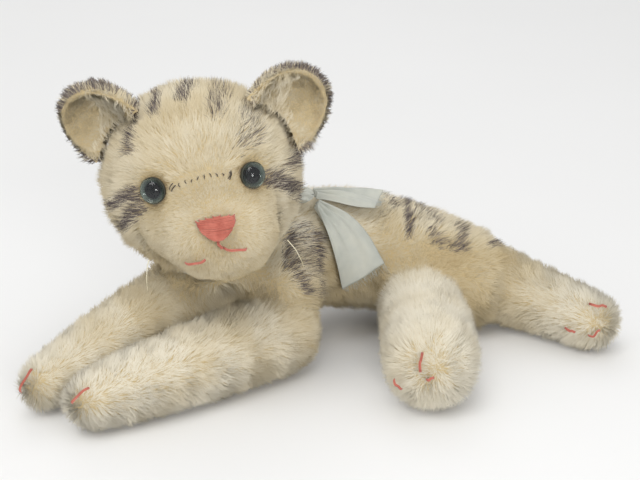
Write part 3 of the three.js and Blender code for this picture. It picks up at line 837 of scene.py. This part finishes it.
def dress_ears():
    for order, side in enumerate(("left", "right")):
        back, lining = f"ear_{side}_back", f"ear_{side}_lining"
        front = unit(middle_of(lining) - middle_of(back))
        out = unit(along_surface(middle_of(back) - HEAD, front[None])[0])
        root = middle_of(back) - out * 12 * MM
        ear = skin(f"ear_{side}_skin", "head", [back, lining], 0.5 * MM, voxel=EAR_VOXEL, rounds=4,
                   closing=0.8 * MM)

        def back_coat(sample, rng):
            points = sample.points
            rise = smooth_step(2 * MM, 16 * MM, (points - root) @ out)
            length = (3.6 + 1.6 * rise) * MM
            nap = out - 0.5 * front + np.zeros(points.shape)
            inked = rng.random(len(points)) < 0.35 + 0.4 * rise + 0.35 * ripple(points, 6 * MM, 45)
            tone = np.where(inked, rng.uniform(GREY - 0.06, DARK, len(points)), 0.25)
            return length, nap, np.full(len(points), 48.0), tone

        def velvet_coat(sample, rng):
            points = sample.points
            # painted shade: the lining is darker towards the ear's base, to stand in for the shade in the
            # cup's fold
            fold_shade = 1 - smooth_step(0, 14 * MM, (points - root) @ out)
            tone = 0.38 + 0.06 * ripple(points, 5 * MM, 41) + 0.14 * fold_shade
            return np.full(len(points), 2.2 * MM), front - 0.4 * out, np.full(len(points), 36.0), tone

        def tuft_coat(sample, rng):
            points = sample.points
            tone = 0.22 + 0.1 * ripple(points, 5 * MM, 43)
            nap = -out + np.array([0, 0, -0.6]) + np.zeros(points.shape)
            return np.full(len(points), 5.0 * MM), nap, np.full(len(points), 52.0), tone

        seed = 50 + 10 * order
        to_back, to_lining = surface_tree(back), surface_tree(lining)
        sample = Sample(ear, 6, np.random.default_rng(seed))
        sample.keep(~nearer_to(sample.points, to_lining, to_back))
        grow_pile(f"{back}_pile", "head", sample, back_coat, seed + 1)
        sample = Sample(ear, 11, np.random.default_rng(seed + 2))
        sample.keep(nearer_to(sample.points, to_lining, to_back))
        grow_pile(f"{lining}_velvet", "head", sample, velvet_coat, seed + 3, width=FINE_STRAND)
        sample = Sample(ear, 2.6, np.random.default_rng(seed + 4))
        sample.keep(nearer_to(sample.points, to_lining, to_back) & ((sample.points - root) @ out < 15 * MM))
        grow_pile(f"{lining}_tuft", "head", sample, tuft_coat, seed + 5, width=0.24 * MM)


# ---- Eyes -----------------------------------------------------------------------------------

LENS_RINGS, LENS_SIDES = 14, 48
LENS_EDGE = 0.5 * MM
IRIS_RIM = 0.9 * MM         # how far the iris cup's rim stands up round the lens
PUPIL_RADIUS, PUPIL_RISE, PUPIL_RINGS = 3.0 * MM, 0.35 * MM, 6


def lathed(profile, middle, axis, sides=LENS_SIDES):
    """A closed turned shape; the profile is (radius, height) pairs from its back to its front."""
    side = unit(np.cross(axis, (0, 0, 1.0)))
    other = np.cross(axis, side)
    points = []
    for radius, height in profile:
        for k in range(sides):
            angle = 2 * math.pi * k / sides
            points.append(middle + axis * height
                          + max(radius, 0.02 * MM) * (math.cos(angle) * side + math.sin(angle) * other))
    faces = grid_faces(len(profile), sides, wrap=True)
    last = (len(profile) - 1) * sides
    faces.append(tuple(range(sides))[::-1])
    faces.append(tuple(last + k for k in range(sides)))
    return np.array(points), faces


def add_piece(name, shape, material, body, slot, *nodes):
    thing = new_object(name, mesh_from(name, *shape), material)
    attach(thing, body)
    if nodes:
        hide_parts(*nodes)
    return thing


def iris_material():
    material, tree, shader = bare_material("iris_paint_rings", Specular_IOR_Level=0.15)
    place = node(tree, "ShaderNodeUVMap", uv_map=PILE_UV)
    split = tree.nodes.new("ShaderNodeSeparateXYZ")
    tree.links.new(place.outputs["UV"], split.inputs["Vector"])
    rings = ramp(tree, split.outputs["X"], [
        (0.0, (0.02, 0.022, 0.025)), (0.55, (0.035, 0.042, 0.042)), (0.74, (0.08, 0.10, 0.088)),
        (0.90, (0.13, 0.155, 0.125)), (1.0, (0.05, 0.05, 0.04))])
    tree.links.new(rings, shader.inputs["Base Color"])
    rough_between(tree, shader, split.outputs["X"], 0.25, 0.5)
    return material


def glass_material():
    material, tree, shader = bare_material("eye_glass", IOR=1.12, Transmission_Weight=1.0, Coat_Weight=0.6)
    shader.inputs["Base Color"].default_value = (0.90, 0.95, 0.92, 1)
    rough_between(tree, shader, noise(tree, 700.0), 0.0, 0.03)
    return material


def pupil_material():
    material, tree, shader = bare_material("pupil_black_glass", Specular_IOR_Level=0.15)
    specks = ramp(tree, noise(tree, 1500.0), [(0.4, (0.008, 0.008, 0.01)), (0.8, (0.02, 0.021, 0.024))])
    tree.links.new(specks, shader.inputs["Base Color"])
    rough_between(tree, shader, noise(tree, 500.0), 0.08, 0.2)
    return material


def add_eyes():
    iris_paint, glass, black = iris_material(), glass_material(), pupil_material()
    for side in ("left", "right"):
        middle = EYE_MIDDLES[side]
        axis = unit(middle_of(f"eye_{side}_glass") - middle)
        spread = node_points(f"eye_{side}_glass") - middle
        heights = spread @ axis
        radius = np.linalg.norm(spread - heights[:, None] * axis, axis=1).max()
        back, front = heights.min(), heights.max()
        dome = [(0, back), (radius * 0.97, back)]
        for ring in range(LENS_RINGS):
            angle = ring / (LENS_RINGS - 1) * math.pi / 2
            height = back + LENS_EDGE + (front - back - LENS_EDGE) * math.sin(angle)
            dome.append((radius * math.cos(angle), height))
        add_piece(f"eye_{side}_lens", lathed(dome, middle, axis), glass, "head", "clear_glass",
                  f"eye_{side}_glass")

        iris_radius = radius * 1.04
        rim = back + IRIS_RIM
        rings = [(radius * 0.7, -0.2 * MM), (iris_radius, 0), (iris_radius, rim), (radius * 1.005, rim)]
        rings += [(radius * share, 0.3 * MM) for share in (0.995, 0.9, 0.8, 0.6, 0.4, 0.2, 0.0)]
        iris = add_piece(f"eye_{side}_iris_disc", lathed(rings, middle, axis), iris_paint, "head",
                         "iris_paint", f"eye_{side}_iris")
        layer = iris.data.uv_layers.new(name=PILE_UV)
        for loop in iris.data.loops:
            offset = np.array(iris.data.vertices[loop.vertex_index].co) - middle
            offset = offset - (offset @ axis) * axis
            layer.data[loop.index].uv = (min(0.99, np.linalg.norm(offset) / iris_radius), 0.5)

        pupil_middle = middle_of(f"eye_{side}_pupil")
        bead = [(0, -0.2 * MM), (PUPIL_RADIUS, -0.2 * MM)]
        for ring in range(PUPIL_RINGS + 1):
            angle = ring / PUPIL_RINGS * math.pi / 2
            bead.append((PUPIL_RADIUS * math.cos(angle), PUPIL_RISE * math.sin(angle)))
        add_piece(f"eye_{side}_pupil_bead", lathed(bead, pupil_middle, axis), black, "head",
                  "black_glass", f"eye_{side}_pupil")


# ---- Thread: nose, mouth, claws and seam stitches -------------------------------------------

def thread_material(name, dark, light):
    material, tree, shader = bare_material(
        name, Specular_IOR_Level=0.3, Sheen_Weight=0.3, Sheen_Roughness=0.4)
    places = object_places(tree)
    strands = node(tree, "ShaderNodeTexWave", Scale=1200.0, Distortion=3.0, bands_direction="DIAGONAL")
    tree.links.new(places, strands.inputs["Vector"])
    patches = noise(tree, 260.0, places=places)
    tree.links.new(ramp(tree, patches, [(0.3, dark), (0.7, light)]), shader.inputs["Base Color"])
    rough_between(tree, shader, strands.outputs["Fac"], 0.45, 0.7)
    bump(tree, shader, strands.outputs["Fac"], 0.08 * MM, 0.7)
    return material


CORAL = thread_material("coral_thread_ply", (0.44, 0.11, 0.075), (0.62, 0.20, 0.145))
FACE_FRONT = unit(middle_of("nose_embroidery") - HEAD)


def main_axis(points):
    return np.linalg.svd(points - points.mean(0), full_matrices=False)[2][0]


def add_nose():
    """Satin stitch: threads side by side over the muzzle, each as wide as the nose is there."""
    tree = surface_tree("nose_embroidery")
    points = node_points("nose_embroidery")
    across = main_axis(points)
    front = unit(FACE_FRONT - (FACE_FRONT @ across) * across)
    up = np.cross(front, across)
    up = up if up[2] > 0 else -up
    offsets = points - NOSE
    half_width, low, high = np.abs(offsets @ across).max(), (offsets @ up).min(), (offsets @ up).max()
    rng = np.random.default_rng(61)
    threads = []
    for height in np.arange(low + 0.3 * MM, high, 0.46 * MM):
        slope = rng.uniform(-0.02, 0.02)
        route = []
        for place in np.arange(-half_width, half_width, 0.5 * MM):
            origin = NOSE + across * place + up * (height + slope * place) + front * 20 * MM
            hit = tree.ray_cast(origin, -front)[0]
            if hit is not None:
                route.append(np.array(hit))
        if len(route) > 3:
            route = np.array(route) + front * rng.uniform(-0.1, 0.15) * MM
            route[0] -= front * 0.9 * MM
            route[-1] -= front * 0.9 * MM
            threads.append(tube(route, rng.uniform(0.30, 0.36) * MM, sides=7))
    add_piece("nose_satin_stitch", merged(threads), CORAL, "head", "coral_thread", "nose_embroidery")


def stitch(node_name, name, body, seed, plies=3):
    """A few plies of thread along a stitched node, both ends drawn down into the cloth."""
    rng = np.random.default_rng(seed)
    points = node_points(node_name)
    run = main_axis(points)
    along = (points - points.mean(0)) @ run
    stops = []
    for low in np.linspace(along.min(), along.max(), 5)[:-1]:
        near = np.abs(along - low - (along.max() - along.min()) / 8) <= (along.max() - along.min()) / 5
        stops.append(points[near].mean(0))
    stops = [points.mean(0) + run * along.min(), *stops[1:-1], points.mean(0) + run * along.max()]
    route = curve_through(stops, 12)
    outward = unit(points.mean(0) - middle_of(owner_node(body)))
    across = unit(np.cross(run, outward))
    ends = np.abs(np.linspace(-1, 1, len(route)))[:, None] ** 4
    route = route - outward * ends * 1.2 * MM
    threads = []
    for ply in range(plies):
        turn = np.linspace(0, 2.5, len(route)) + ply * 2 * math.pi / plies
        twist = np.cos(turn)[:, None] * across + np.sin(turn)[:, None] * outward * 0.6
        threads.append(tube(route + twist * 0.36 * MM, rng.uniform(0.26, 0.32) * MM, sides=6))
    return add_piece(name, merged(threads), CORAL, body, "coral_thread", node_name)


def owner_node(body):
    return "head_stuffing" if body == "head" else f"{body}_stuffing"


def add_stitches():
    for order, each in enumerate(("philtrum_stitch", "mouth_right_stitch", "mouth_left_stitch")):
        stitch(each, f"{each}_thread", "head", 70 + order)
    for limb in LIMBS:
        for each in sorted(frame["nodes"]):
            if each.startswith(f"{limb}_claw"):
                stitch(each, f"{each}_thread", limb, 80)


SEAM_STITCH_GAP = 2.6 * MM


def seam_points():
    """Places along the seam over the muzzle, from one eye to the other."""
    left, right = EYE_MIDDLES["left"], EYE_MIDDLES["right"]
    front = np.array([0, -1.0, 0])
    found = []
    for place in np.arange(left[0] + 7.5 * MM, right[0] - 6.5 * MM, SEAM_STITCH_GAP):
        for height in np.arange(HEAD[2] + 25 * MM, HEAD[2] - 25 * MM, -0.5 * MM):
            origin = Vector((place, HEAD[1] - 80 * MM, height))
            to_muzzle = MUZZLE_TREE.ray_cast(origin, -Vector(front))
            to_crown = CROWN_TREE.ray_cast(origin, -Vector(front))
            if to_muzzle[0] is not None and (to_crown[0] is None or to_muzzle[3] < to_crown[3]):
                found.append(np.array(to_muzzle[0]))
                break
    return found


def add_seam_stitches():
    """Short dark stitches of the seam between the crown and the muzzle, and at the eye corners."""
    dark = thread_material("dark_seam_thread_ply", (0.035, 0.028, 0.02), (0.12, 0.09, 0.06))
    rng = np.random.default_rng(66)
    middle = middle_of("head_stuffing")
    threads = []
    places = seam_points()
    for order, place in enumerate(places):
        outward = unit(place - middle)
        place = place - outward * 1.4 * MM
        at_corner = order in (0, len(places) - 1)
        reach = (1.5 if at_corner else rng.uniform(0.5, 0.9)) * MM
        for ply in range(3 if at_corner else 1):
            way = unit(along_surface(np.array([rng.uniform(-0.7, 0.7), 0, 1.0]), outward[None])[0])
            start = place + along_surface(rng.normal(size=3), outward[None])[0] * 0.6 * MM * (ply > 0)
            route = [start - way * reach - outward * 0.9 * MM, start + outward * 0.5 * MM,
                     start + way * reach - outward * 0.9 * MM]
            threads.append(tube(curve_through(route, 7), 0.2 * MM, sides=6))
    add_piece("seam_stitches", merged(threads), dark, "head", "cream_mohair")


# ---- Ribbon ---------------------------------------------------------------------------------

def silk_material():
    material, tree, shader = bare_material(
        "pale_silk_weave", Specular_IOR_Level=0.45, Sheen_Weight=0.35, Sheen_Roughness=0.35)
    places = object_places(tree)
    warp = node(tree, "ShaderNodeTexWave", Scale=1500.0, Distortion=0.6)
    weft = node(tree, "ShaderNodeTexWave", Scale=900.0, Distortion=0.8, bands_direction="Z")
    for threads in (warp, weft):
        tree.links.new(places, threads.inputs["Vector"])
    weave = node(tree, "ShaderNodeMath", operation="ADD")
    tree.links.new(warp.outputs["Fac"], weave.inputs[0])
    tree.links.new(weft.outputs["Fac"], weave.inputs[1])
    faded = noise(tree, 70.0, places=places)
    tree.links.new(ramp(tree, faded, [(0.3, (0.42, 0.44, 0.40)), (0.55, (0.53, 0.54, 0.48)),
                                      (0.75, (0.60, 0.60, 0.52))]), shader.inputs["Base Color"])
    rough_between(tree, shader, faded, 0.4, 0.62)
    bump(tree, shader, weave.outputs["Value"], 0.05 * MM, 0.5)
    return material


SILK = silk_material()
SILK_THICKNESS = 0.22 * MM
RIBBON_ROWS, RIBBON_COLUMNS = 44, 30
RIBBON_EDGES = {   # the two long edges of each end, from the knot outwards, in millimetres
    "ribbon_front_end": (
        [(-6, 7.5, 66), (-0.3, 2.5, 53.5), (3.9, 1.5, 40), (6, 4.5, 28.5)],
        [(-5, 12, 67), (8.1, 15.6, 59.5), (17.2, 15, 50.5), (24.5, 10.2, 38.5)]),
    "ribbon_back_end": (
        [(-5.2, 15.6, 68), (3, 19.5, 65), (12, 22, 61.5), (20, 24.2, 59)],
        [(-7.5, 19.5, 69), (4, 31, 67), (14, 34.5, 65.5), (24, 36, 63)]),
}


def ribbon_grid(edges, folds, fold_height, wave_height, seed):
    """Points of a cut end: gathered in folds at the knot, nearly flat and a little wavy at its cut."""
    near, far = (curve_through(np.array(edge, float) * MM, RIBBON_ROWS) for edge in edges)
    share = np.linspace(0, 1, RIBBON_COLUMNS)[None, :, None]
    grid = near[:, None] * (1 - share) + far[:, None] * share
    run = unit(np.gradient((near + far) / 2, axis=0))
    out = unit(np.cross(run, far - near))
    out = out * np.where(out[:, 2:3] < 0, -1, 1)
    down = np.linspace(0, 1, RIBBON_ROWS)[:, None]
    phase = np.random.default_rng(seed).uniform(0, 6)
    across = share[:, :, 0]
    gather = fold_height * (1 - down) ** 1.4 * np.sin(2 * math.pi * folds * across + phase + 1.5 * down)
    wave = wave_height * down * np.sin(2.2 * math.pi * across + 3 * down + phase)
    return grid + (gather + wave)[:, :, None] * out[:, None]


def sheet_piece(name, grid, node_name, wrap=False):
    rows, columns = grid.shape[:2]
    shape = (grid.reshape(-1, 3), grid_faces(rows, columns, wrap))
    thing = add_piece(name, shape, SILK, "torso", "pale_silk", node_name)
    solid = thing.modifiers.new("thickness", "SOLIDIFY")
    solid.thickness = SILK_THICKNESS
    solid.offset = 0
    applied(thing)
    thing.data.polygons.foreach_set("use_smooth", [True] * len(thing.data.polygons))
    return thing


def fray(name, grid, seed):
    """Loose warp threads at the cut edge of a ribbon end."""
    rng = np.random.default_rng(seed)
    edge, before = grid[-1], grid[-4]
    threads = []
    for _ in range(70):
        place = rng.uniform(0, len(edge) - 1.001)
        index, part = int(place), place % 1
        start = edge[index] * (1 - part) + edge[index + 1] * part
        run = unit(start - before[index])
        length = rng.uniform(0.6, 3.2) * MM * (1.6 if index > len(edge) - 5 else 1)
        bend = rng.normal(size=3) * 0.25
        route = [start - run * 0.4 * MM, start + run * length * 0.5, start + (run + bend) * length]
        threads.append(tube(curve_through(route, 5), 0.06 * MM, sides=4))
    return add_piece(name, merged(threads), SILK, "torso", "pale_silk")


def add_ribbon():
    front = ribbon_grid(RIBBON_EDGES["ribbon_front_end"], 3, 1.3 * MM, 0.8 * MM, 91)
    back = ribbon_grid(RIBBON_EDGES["ribbon_back_end"], 3, 1.6 * MM, 1.2 * MM, 92)
    front_fray = fray("ribbon_front_fray", front, 93)
    back_fray = fray("ribbon_back_fray", back, 94)
    sheet_piece("ribbon_front_silk", front, "ribbon_front_end")
    sheet_piece("ribbon_back_silk", back, "ribbon_back_end")
    add_knot()
    add_band()


def add_knot():
    low, high = (np.array(corner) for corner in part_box("ribbon_knot"))
    middle, radii = (low + high) / 2, (high - low) / 2
    rows, columns = 22, 36
    points = []
    for row in range(rows):
        polar = math.pi * (row + 0.5) / rows
        for column in range(columns):
            turn = 2 * math.pi * column / columns
            pleat = 1 + 0.10 * math.sin(6 * turn + 4 * polar) + 0.05 * math.sin(11 * turn - 3 * polar)
            way = np.array([math.cos(polar), math.sin(polar) * math.cos(turn),
                            math.sin(polar) * math.sin(turn)])
            points.append(middle + way * radii * pleat)
    faces = grid_faces(rows, columns, wrap=True)
    last = (rows - 1) * columns
    faces.append(tuple(range(columns)))
    faces.append(tuple(last + k for k in range(columns))[::-1])
    knot = add_piece("ribbon_knot_silk", (np.array(points), faces), SILK, "torso", "pale_silk",
                     "ribbon_knot")
    subdivide = knot.modifiers.new("subdivide", "SUBSURF")
    subdivide.levels = subdivide.render_levels = 1


BAND_LOW_RADIUS, BAND_HIGH_RADIUS, BAND_RISE = 22.5 * MM, 27.5 * MM, 7 * MM


def add_band():
    """The ribbon round the neck, drawn up in three soft folds and sunk in the pile."""
    joint = next(each for each in frame["joints"] if each["name"] == "neck_swivel")
    axis, neck = unit(joint["axis"]), np.array(joint["pos_m"])
    side = unit(np.cross(axis, (0, 0, 1.0)))
    other = np.cross(axis, side)
    rows, columns = 26, 120
    turns = np.linspace(0, 2 * math.pi, columns, endpoint=False)
    ways = np.cos(turns)[:, None] * side + np.sin(turns)[:, None] * other
    grid = np.empty((rows, columns, 3))
    for row in range(rows):
        share = row / (rows - 1)
        folds = 1.1 * MM * np.sin(2 * math.pi * 3 * share + 0.8 * np.sin(3 * turns))
        radius = BAND_LOW_RADIUS + (BAND_HIGH_RADIUS - BAND_LOW_RADIUS) * share + folds
        rise = -1 * MM + BAND_RISE * share + 0.4 * MM * np.sin(5 * turns)
        grid[row] = neck + axis * rise[:, None] + ways * radius[:, None]
    sheet_piece("ribbon_band_silk", grid, "ribbon_band",
                wrap=True)


# ---- Whiskers and hardware ------------------------------------------------------------------

def nylon_material():
    material, tree, shader = bare_material("whisker_nylon", Transmission_Weight=0.35, IOR=1.5)
    tint = ramp(tree, noise(tree, 120.0), [(0.3, (0.86, 0.78, 0.50)), (0.7, (0.95, 0.91, 0.74))])
    tree.links.new(tint, shader.inputs["Base Color"])
    rough_between(tree, shader, noise(tree, 400.0), 0.2, 0.4)
    return material


def add_whiskers():
    nylon = nylon_material()
    for side in ("left", "right"):
        points = node_points(f"whisker_{side}")
        order = np.argsort(points @ main_axis(points))
        stops = [points[group].mean(0) for group in np.array_split(order, 6)]
        if np.linalg.norm(stops[0] - HEAD) > np.linalg.norm(stops[-1] - HEAD):
            stops = stops[::-1]
        route = curve_through(stops, 24)
        radii = np.linspace(0.24, 0.09, len(route)) * MM
        add_piece(f"whisker_{side}_hair", tube(route, radii, sides=8), nylon, "head", "nylon",
                  f"whisker_{side}")


def board_material():
    material, tree, shader = bare_material("fibreboard_pressed", Specular_IOR_Level=0.2)
    places = object_places(tree)
    fibres = noise(tree, 600.0, detail=6, places=places)
    tree.links.new(ramp(tree, fibres, [(0.35, (0.16, 0.10, 0.05)), (0.65, (0.34, 0.23, 0.13))]),
                   shader.inputs["Base Color"])
    rough_between(tree, shader, fibres, 0.7, 0.95)
    bump(tree, shader, fibres, 0.1 * MM, 0.5)
    return material


def steel_material():
    material, tree, shader = bare_material("steel_wire", Metallic=1.0)
    places = object_places(tree)
    stain = noise(tree, 300.0, detail=5, places=places)
    tree.links.new(ramp(tree, stain, [(0.35, (0.38, 0.35, 0.31)), (0.6, (0.58, 0.57, 0.55))]),
                   shader.inputs["Base Color"])
    rough_between(tree, shader, stain, 0.3, 0.55)
    bump(tree, shader, noise(tree, 1400.0, places=places), 0.03 * MM, 0.4)
    return material


def finish_hardware():
    board, steel = board_material(), steel_material()
    kept = {"head_disc": board, "body_disc": board, "head_washer": steel, "body_washer": steel,
            "cotter_pin": steel, "eye_left_shank": steel, "eye_right_shank": steel}
    for name, material in kept.items():
        thing = frame["nodes"][name]
        thing.data.materials.clear()
        thing.data.materials.append(material)


add_camera()
add_light("key_light", KEY_LIGHT)
add_light("fill_light", FILL_LIGHT)
add_light("back_light", BACK_LIGHT)
dress_head()
dress_body()
dress_limbs()
dress_ears()
add_eyes()
add_nose()
add_stitches()
add_seam_stitches()
add_ribbon()
add_whiskers()
finish_hardware()


# ---- Floor and surroundings -----------------------------------------------------------------

FLOOR_HALF_WIDTH = 3.0


def add_floor():
    material, tree, shader = bare_material("floor_paper", Roughness=0.9, Specular_IOR_Level=0.1)
    tree.links.new(ramp(tree, noise(tree, 3.0), [(0.3, (0.86, 0.86, 0.855)), (0.7, (0.88, 0.88, 0.875))]),
                   shader.inputs["Base Color"])
    far = FLOOR_HALF_WIDTH
    corners = [(-far, -far, 0), (far, -far, 0), (far, far, 0), (-far, far, 0)]
    floor = new_object("floor", mesh_from("floor", corners, [(0, 1, 2, 3)]), material)


def add_sky():
    scene.world = bpy.data.worlds.new("studio")
    scene.world.use_nodes = True
    sky = scene.world.node_tree.nodes["Background"]
    sky.inputs["Color"].default_value = (1.0, 1.0, 1.0, 1)
    sky.inputs["Strength"].default_value = SKY


add_floor()
add_sky()
scene.view_settings.view_transform = "Standard"
